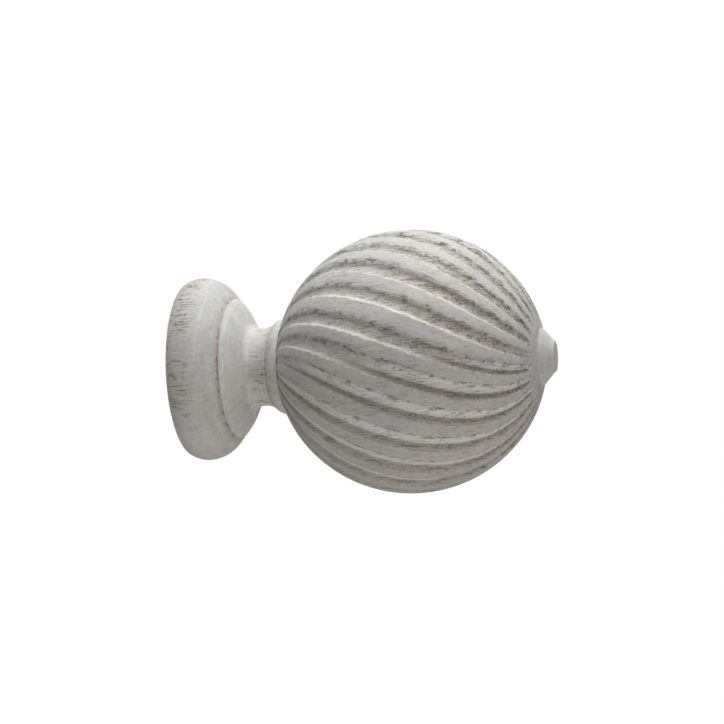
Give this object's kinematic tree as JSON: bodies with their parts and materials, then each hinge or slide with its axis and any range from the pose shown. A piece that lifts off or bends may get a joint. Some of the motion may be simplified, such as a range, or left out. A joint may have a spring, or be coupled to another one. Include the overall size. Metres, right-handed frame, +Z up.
{
  "type": "curtain pole finial",
  "caption": "Limed wood curtain pole finial: round collar, hollow neck and a ball carved with spiral flutes, ending in a small tip button.",
  "frame": {"origin": "centre of the flat back face, at the mouth of the pilot hole", "axes": "+X along the finial's axis from the pole to the tip, +Z up as it hangs on a level pole"},
  "size_m": [0.0848, 0.0596, 0.0596],
  "materials": {
    "limed_wood": "matt limewash over bare wood, rubbed through on the sharp edges, with brown grain left in the flutes"
  },
  "bodies": {
    "root": {"finial": "limed_wood"}
  },
  "joints": []
}
